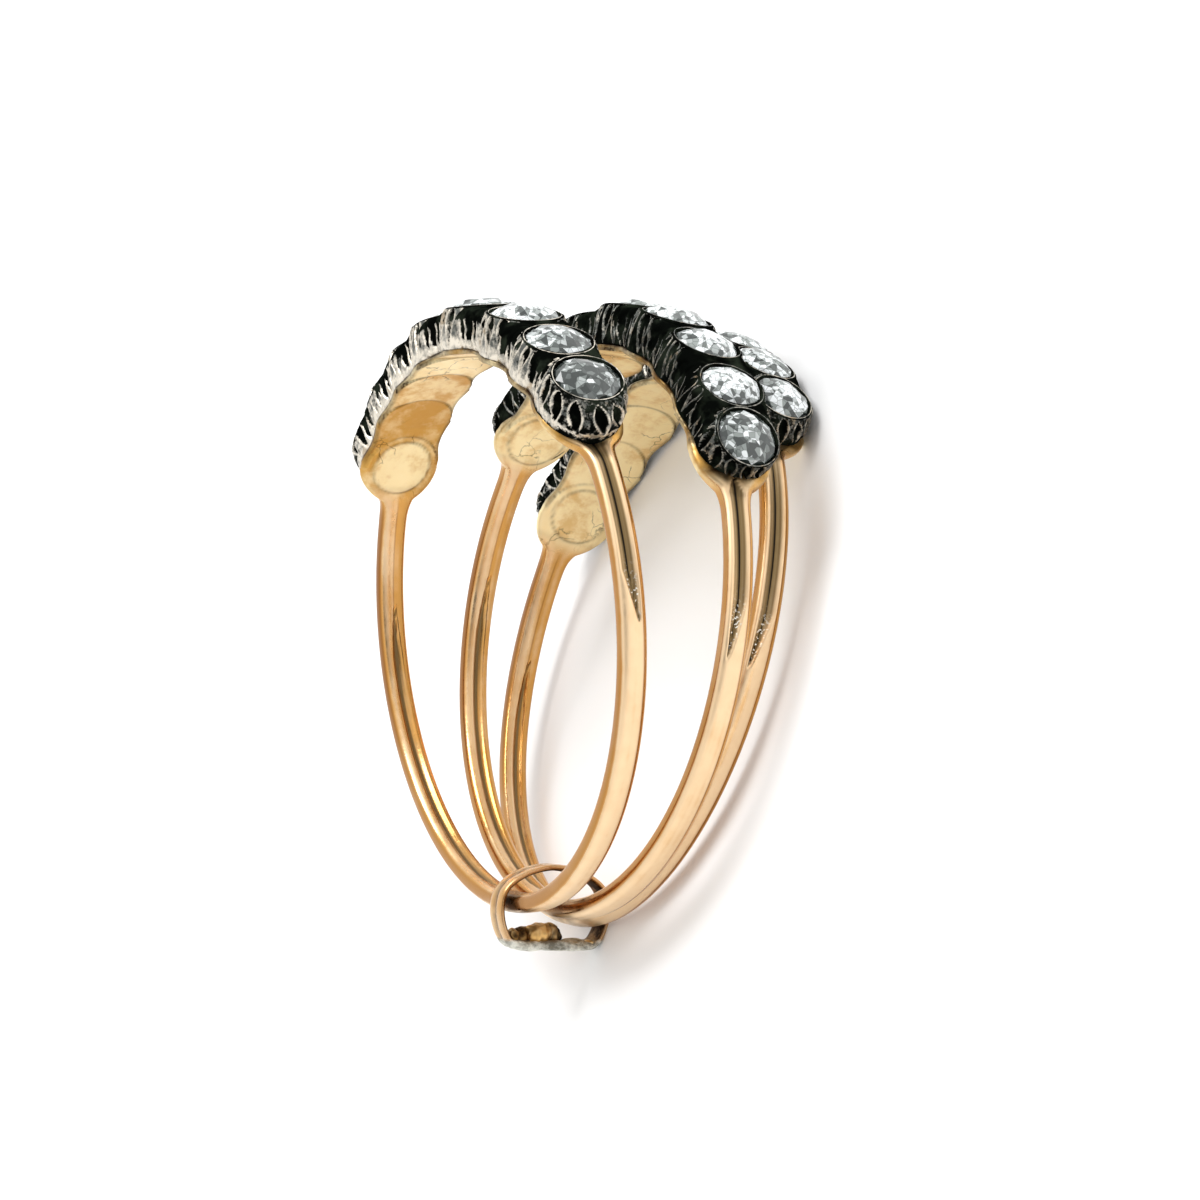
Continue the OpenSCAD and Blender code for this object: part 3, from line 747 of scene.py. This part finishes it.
def webShape(hoop):
    # Strip along the row. Its top is an arch that sinks in each valley and dips under each stone.
    c = collet
    alpha = np.radians(np.linspace(hoop["angles"][0], hoop["angles"][7], c["webRows"]))[:, None]
    top = c["webHalf"] * np.sin(math.pi / 2 * np.linspace(-1, 1, c["webColumns"]))
    rise = np.linspace(0.22, 1.06, c["webSide"])
    sideX = c["webHalf"] - 0.08 + 0.08 * smooth(rise, 0.2, 0.6)
    x = np.concatenate([-sideX, top, sideX[::-1], [0]])[None, :] * np.ones_like(alpha)
    arch = c["webTop"] - 0.40 * (np.abs(top) / c["webHalf"]) ** 8
    z = np.concatenate([rise, arch, rise[::-1], [0.22]])[None, :] * np.ones_like(alpha)
    sideColumns = np.zeros(c["webSide"])
    isTop = np.concatenate([sideColumns, np.ones(c["webColumns"]), sideColumns, [0]])[None, :]
    seats = np.radians(hoop["angles"])
    valleys = (seats[:-1] + seats[1:]) / 2
    valley = np.zeros_like(alpha)
    for middle in valleys:
        valley = valley + bell(alpha * hoop["arcRadius"], middle * hoop["arcRadius"], 0.32)
    # leaf cuts beside each valley, with pale ribs between them
    cut = np.zeros_like(x)
    line = np.zeros_like(x)
    u = np.clip((z - 0.26) / 1.14, 0, 1)
    for k, middle in enumerate(valleys):
        for shift, widest in c["webCuts"]:
            off = (alpha - middle) * (hoop["arcRadius"] + 0.8) - shift
            uneven = 1 + 0.2 * math.sin(7 * k + 20 * shift)
            half = widest * np.sin(math.pi * u ** 1.4) ** 0.6 * uneven
            slant = 0.16 * math.sin(5 * k + 9 * shift)
            off = np.abs(off + slant * np.sign(x) * (u - 0.5))
            cut = np.maximum(cut, 1 - smooth(off, 0.75 * half, half + 0.02))
            line = np.maximum(line, bell(off, half + 0.035, 0.03))
    cut = cut * smooth(u, 0.02, 0.10) * (np.abs(x) > 0.6)
    x = x * (1 - 0.035 * valley - c["webCutDepth"] * cut)
    z = z - 0.05 * valley * isTop
    for k in range(8):
        alongSeat = (alpha - seats[k]) * (hoop["arcRadius"] + 1.3) / (hoop["along"][k] + 0.05)
        far = np.sqrt(alongSeat ** 2 + (x / (hoop["across"][k] + 0.05)) ** 2)
        z = z - isTop * np.maximum(z - 1.2, 0) * (1 - smooth(far, 0.93, 1.03))
    radius = hoop["arcRadius"] + z
    px, py = rowToHoop(-np.sin(alpha) * radius, np.cos(alpha) * radius + hoop["arcShift"], hoop)
    points = np.stack([px, py, hoop["side"] - x], axis=-1)
    points += ripple(points, 0.4, hoop["seed"])[..., None] * 0.01
    ribs = (1 - cut) * (np.abs(x) > 0.85) * (hoop["ribs"] + (1 - hoop["ribs"]) * line)
    ribs = ribs * (1 - 0.85 * smooth(u, 0.64, 0.88))
    rub = np.maximum(hoop["band"] * (1 - smooth(z, 0.38, 0.60)), ribs).ravel()
    # a face closes each end of the strip
    rows, columns = px.shape
    faces = tubeFaces(rows, columns)[:-columns].tolist()
    faces.append(list(range(columns))[::-1])
    faces.append([(rows - 1) * columns + k for k in range(columns)])
    # the web's rubbed silver also takes the hoop's painted light
    return points.reshape(-1, 3), faces, {"rub": rub, "toneAndLight": hoop["toneAndLight"] * (0.3 + 0.6 * rub)}


for row, hoop in hoops.items():
    points, faces, marks = webShape(hoop)
    allPoints, allFaces = [lay(points, hoop)], list(faces)
    allMarks = {key: [value] for key, value in marks.items()}
    start = len(points)
    for i in range(8):
        points, faces, marks = colletShape(hoop, i, hoop["seed"] * 10 + i)
        allFaces += [[v + start for v in f] for f in faces]
        start += len(points)
        allPoints.append(lay(seatToHoop(points, hoop, i), hoop))
        for key in marks:
            allMarks[key].append(marks[key])
    marks = {key: np.concatenate(parts) for key, parts in allMarks.items()}
    piece = addMesh("collets_" + row + "_silver", np.concatenate(allPoints), allFaces, silver, marks)
    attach(piece, row + "_hoop")
    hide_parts("collets_" + row)
print("silver collets made")

# Old-cut stone: oval girdle, three rings of uneven facets and a small table.
# rings: size, level and whether turned half a step, uneven: stray of the corners in angle and
# size, sparkle: steps of painted reflection brightness between facets.
gem = {
    "seatHeight": 1.39, "height": 0.42, "size": 1.03, "girdle": 0.07, "corners": 12,
    "rings": ((0.84, 0.50, 1), (0.54, 0.86, 0), (0.28, 1.0, 1)), "uneven": (0.12, 0.10),
    "sparkle": (-0.30, -0.10, 0.14, 0.36),
}


def stoneShape(hoop, i, seed):
    # rings of corners on the stone's oval that shrink towards the table
    rng = np.random.default_rng(seed)
    n = gem["corners"]
    steps = np.arange(n)
    oval = np.array([hoop["along"][i], hoop["across"][i]])
    points = []
    for level in (0, gem["girdle"]):
        angle = steps * 2 * math.pi / n
        edge = gem["size"] * oval * np.stack([np.cos(angle), np.sin(angle)], axis=-1)
        points.append(np.column_stack([edge, np.full(n, level)]))
    for size, level, half in gem["rings"]:
        angle = (steps + 0.5 * half) * 2 * math.pi / n + rng.uniform(-gem["uneven"][0], gem["uneven"][0], n)
        wide = size * (1 + rng.uniform(-gem["uneven"][1], gem["uneven"][1], n)) * gem["size"]
        edge = oval * wide[:, None] * np.stack([np.cos(angle), np.sin(angle)], axis=-1)
        points.append(np.column_stack([edge, np.full(n, level * gem["height"])]))
    points = np.concatenate(points)
    points[:, 2] += gem["seatHeight"]
    # underside, girdle, triangles between the rings, table
    faces = [list(range(n))[::-1]]
    following = [(k + 1) % n for k in range(n)]
    for k, j in enumerate(following):
        faces.append([k, j, n + j, n + k])
    for ring, (_, _, half) in enumerate(gem["rings"]):
        low, high = (ring + 1) * n, (ring + 2) * n
        for k, j in enumerate(following):
            if half:
                faces += [[low + k, low + j, high + k], [low + j, high + j, high + k]]
            else:
                faces += [[low + k, low + j, high + j], [low + k, high + j, high + k]]
    faces.append([4 * n + k for k in range(n)])
    return points, faces, rng


for row, hoop in hoops.items():
    for i in range(8):
        points, faces, rng = stoneShape(hoop, i, hoop["seed"] * 100 + i)
        # give each facet its own corners, so that each can have its own painted reflection brightness
        loose = np.concatenate([points[f] for f in faces])
        counts = [len(f) for f in faces]
        starts = np.cumsum([0] + counts[:-1])
        ownFaces = [list(range(a, a + c)) for a, c in zip(starts, counts)]
        level = np.clip(hoop["paintedReflection"][i] + rng.choice(gem["sparkle"], len(faces)), 0, 1)
        placed = lay(seatToHoop(loose, hoop, i), hoop)
        marks = {"facet": np.repeat(level, counts)}
        name = "stone_%s_%d" % (row, i + 1)
        piece = addMesh(name + "_cut", placed, ownFaces, stoneLook, marks, flat=True)
        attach(piece, row + "_hoop")
        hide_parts(name)
print("stones made")

# Collar: a thin band bent to round sides, a lower crown and a flat foot.
collar = {
    "centre": (0.11, -9.03, 1.90), "turn": (15.6, 0.6, 0), "radius": 1.95, "wall": 0.22, "length": 0.96,
    "crownShift": -1.18, "crownRadius": 2.60, "foot": 1.36, "footWall": 0.34, "steps": 300, "round": 40,
    "groove": 0.09, "lumpRows": 30, "lumpColumns": 48,
    # each lump: centre and radii in the band's frame, then its dirt and painted shade, and its grey
    "lumps": (((0.10, -0.80, 0.40), (0.40, 0.36, 0.44), 0.15, 0.0),
              ((0.05, -1.09, -0.80), (0.40, 0.14, 0.40), 0.4, 0.7),
              ((0.05, -0.90, 1.32), (0.38, 0.24, 0.20), 0.5, 0.0),
              ((0.05, -1.08, -1.30), (0.38, 0.10, 0.14), 0.2, 0.0),
              # the last two are dark lumps of dirt and painted shade that fill the shadowed far side of the
              # foot
              ((-0.18, -0.92, 0.88), (0.26, 0.32, 0.56), 1.0, 0.0),
              ((-0.18, -0.88, -0.02), (0.26, 0.38, 0.46), 1.0, 0.0)),
}


def collarOutline(ux, uy, inset, footLevel):
    # the smallest of side circle, crown circle and foot line, as the root of the sum of their
    # powers of -26
    side = np.full_like(ux, collar["radius"] - inset)
    along = uy * collar["crownShift"]
    crown = along + np.sqrt(along ** 2 - collar["crownShift"] ** 2 + (collar["crownRadius"] - inset) ** 2)
    foot = np.where(uy < -0.05, footLevel / np.maximum(-uy, 0.05), 99)
    stack = np.array([side, crown, foot])
    return np.sum(stack ** -26.0, axis=0) ** (-1 / 26.0)


def collarBand():
    # the band's section is a square with round corners, swept round the outline
    c = collar
    t = np.linspace(0, 2 * math.pi, c["steps"], endpoint=False)
    ux, uy = np.cos(t), np.sin(t)
    outer = collarOutline(ux, uy, 0, c["foot"])
    inner = collarOutline(ux, uy, c["wall"], c["foot"] - c["footWall"])
    v = np.linspace(0, 2 * math.pi, c["round"], endpoint=False)
    bulge = np.sign(np.cos(v)) * np.abs(np.cos(v)) ** 0.6
    width = np.sign(np.sin(v)) * np.abs(np.sin(v)) ** 0.6
    # a groove runs round the outside of the band and leaves two ridges
    groove = bell(width, -0.1, 0.24) * (bulge > 0)
    rho = (outer + inner)[:, None] / 2 + (outer - inner)[:, None] / 2 * bulge[None, :]
    rho = rho - c["groove"] * groove[None, :]
    x = c["length"] / 2 * width[None, :] * np.ones_like(rho)
    # the outline lies in the band's own Y and Z, foot towards -Y
    points = np.stack([x, rho * uy[:, None], -rho * ux[:, None]], axis=-1)
    # old solder covers the foot, which is rougher than the rest
    low = smooth(-points[..., 1], 0.92, 1.10)
    points += ripple(points, 0.35, 77)[..., None] * (0.012 + 0.03 * low[..., None])
    points += ripple(points, 0.12, 78)[..., None] * (0.006 + 0.02 * low[..., None])
    # dirt and painted shade: the band's inside painted dark as shade, and dark in the groove
    inside = smooth(-bulge, 0.0, 0.8)[None, :] * np.ones_like(rho)
    dirtAndShade = np.clip(1.3 * inside + 0.95 * groove[None, :], 0, 1) * (1 - low)
    lines = (1 - groove)[None, :] * np.abs(width)[None, :] ** 6
    none = np.zeros_like(rho)
    marks = {"dirtAndShade": dirtAndShade, "plate": none, "edge": 0.4 * lines + none, "fluteReflection": none,
             "sideShade": 0.5 + none, "deep": none, "paintedGlint": none, "solder": low}
    marks = {key: value.ravel() for key, value in marks.items()}
    return points.reshape(-1, 3), tubeFaces(*rho.shape).tolist(), marks


def collarShape():
    # the band with lumps of old solder inside its foot, some dark with dirt and painted shade: balls with a
    # rough surface
    c = collar
    points, faces, marks = collarBand()
    rows, columns = c["lumpRows"], c["lumpColumns"]
    up = np.pi * (np.arange(rows) + 1) / (rows + 1)
    way = 2 * np.pi * np.arange(columns) / columns
    ball = np.stack([np.sin(up)[:, None] * np.cos(way), np.sin(up)[:, None] * np.sin(way),
                     np.cos(up)[:, None] * np.ones(columns)], axis=-1).reshape(-1, 3)
    ball = np.concatenate([[[0, 0, 1]], ball, [[0, 0, -1]]])
    for k, (place, radii, lumpDirtAndShade, grey) in enumerate(c["lumps"]):
        lump = ball * radii + place
        rough = 0.14 * ripple(lump, 0.20, 90 + k) + 0.09 * ripple(lump, 0.07, 95 + k)
        lump = place + (lump - place) * (1 + rough)[:, None]
        faces += [[v + len(points) for v in face] for face in domeFaces(rows, columns)]
        points = np.concatenate([points, lump])
        levels = {"dirtAndShade": lumpDirtAndShade - 4 * rough, "solder": grey, "plate": 0.8, "deep": 0.7}
        for key in marks:
            level = np.clip(levels.get(key, 0) + np.zeros(len(lump)), 0, 1)
            marks[key] = np.concatenate([marks[key], level])
    return points @ turnMatrix(c["turn"]).T + np.array(c["centre"]), faces, marks


points, faces, marks = collarShape()
piece = addMesh("collar_gold", points, faces, gold, marks)
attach(piece, "collar")
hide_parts("collar")
print("collar made")


def placeObject(item, place, right, up, back):
    # a camera or lamp at its place, with its X, Y and Z along right, up and back
    pose = np.eye(4)
    pose[:3, :3] = np.array([right, up, back]).T
    pose[:3, 3] = np.array(place) * mm
    item.matrix_world = Matrix(pose.tolist())
    bpy.context.scene.collection.objects.link(item)


# Camera at the photo's angle: right, up and back are its axes in the part frame.
view = {
    "place": (136.883, -17.201, 58.766), "right": (0.39271, 0.2769, -0.87697),
    "up": (0.00318, 0.9532, 0.30238), "back": (0.91967, -0.1215, 0.37346), "lens": 139.0,
    "sensor": 36.0, "nearest": 5,
}
camera = bpy.data.objects.new("camera", bpy.data.cameras.new("camera"))
camera.data.lens = view["lens"]
camera.data.sensor_width = view["sensor"]
camera.data.clip_start = view["nearest"] * mm
placeObject(camera, view["place"], view["right"], view["up"], view["back"])
bpy.context.scene.camera = camera

# Floor, room and one soft lamp. The room is darker round the direction dim: each stop is the
# cosine of the angle from it and the brightness there.
stage = {
    "floor": 0.94, "floorHalf": 600, "floorRough": 0.6, "strength": 1.06, "dim": (0.93, -0.11, 0.35),
    "dimStops": ((0.86, 1.0), (0.94, 0.60), (0.98, 0.20)), "dimmest": (0.05, 0.045, 0.04),
    "lampPlace": (10, 90, 130), "lampTarget": (0, 2, 5), "lampSize": 90, "lampPower": 0.15,
}


def addFloor():
    # pale square under the part
    m = Nodes("paleFloor")
    m.feed(m.shader, ("Base Color", "Roughness"), ((stage["floor"],) * 3, stage["floorRough"]))
    half = stage["floorHalf"]
    corners = [(-half, -half, 0), (half, -half, 0), (half, half, 0), (-half, half, 0)]
    floor = addMesh("floor", corners, [(0, 1, 2, 3)], m.material, {}, flat=True)


def addRoom():
    # white room whose brightness follows the cosine of the angle from dim
    world = bpy.data.worlds.new("room")
    bpy.context.scene.world = world
    world.use_nodes = True
    tree = world.node_tree
    coord = tree.nodes.new("ShaderNodeTexCoord")
    dot = tree.nodes.new("ShaderNodeVectorMath")
    dot.operation = "DOT_PRODUCT"
    dot.inputs[1].default_value = stage["dim"]
    ramp = tree.nodes.new("ShaderNodeValToRGB")
    ramp.color_ramp.elements[0].color = (1.0, 1.0, 1.0, 1)
    ramp.color_ramp.elements[1].color = (*stage["dimmest"], 1)
    for cosine, value in stage["dimStops"]:
        stop = ramp.color_ramp.elements.new(cosine)
        stop.color = (value, value, value, 1)
    tree.links.new(coord.outputs["Generated"], dot.inputs[0])
    tree.links.new(dot.outputs["Value"], ramp.inputs[0])
    tree.links.new(ramp.outputs[0], tree.nodes["Background"].inputs["Color"])
    tree.nodes["Background"].inputs["Strength"].default_value = stage["strength"]


def addLamp():
    # round area lamp that looks from its place to the target
    data = bpy.data.lights.new("soft_top", "AREA")
    data.shape = "DISK"
    data.size = stage["lampSize"] * mm
    data.energy = stage["lampPower"]
    away = np.array(stage["lampPlace"], dtype=float) - np.array(stage["lampTarget"], dtype=float)
    away /= np.linalg.norm(away)
    side = np.cross((0.0, 1.0, 0.01), away)
    side /= np.linalg.norm(side)
    lamp = bpy.data.objects.new("soft_top", data)
    placeObject(lamp, stage["lampPlace"], side, np.cross(away, side), away)


addFloor()
addRoom()
addLamp()
bpy.context.scene.view_settings.view_transform = "Standard"
print("stage, lamp and camera made")
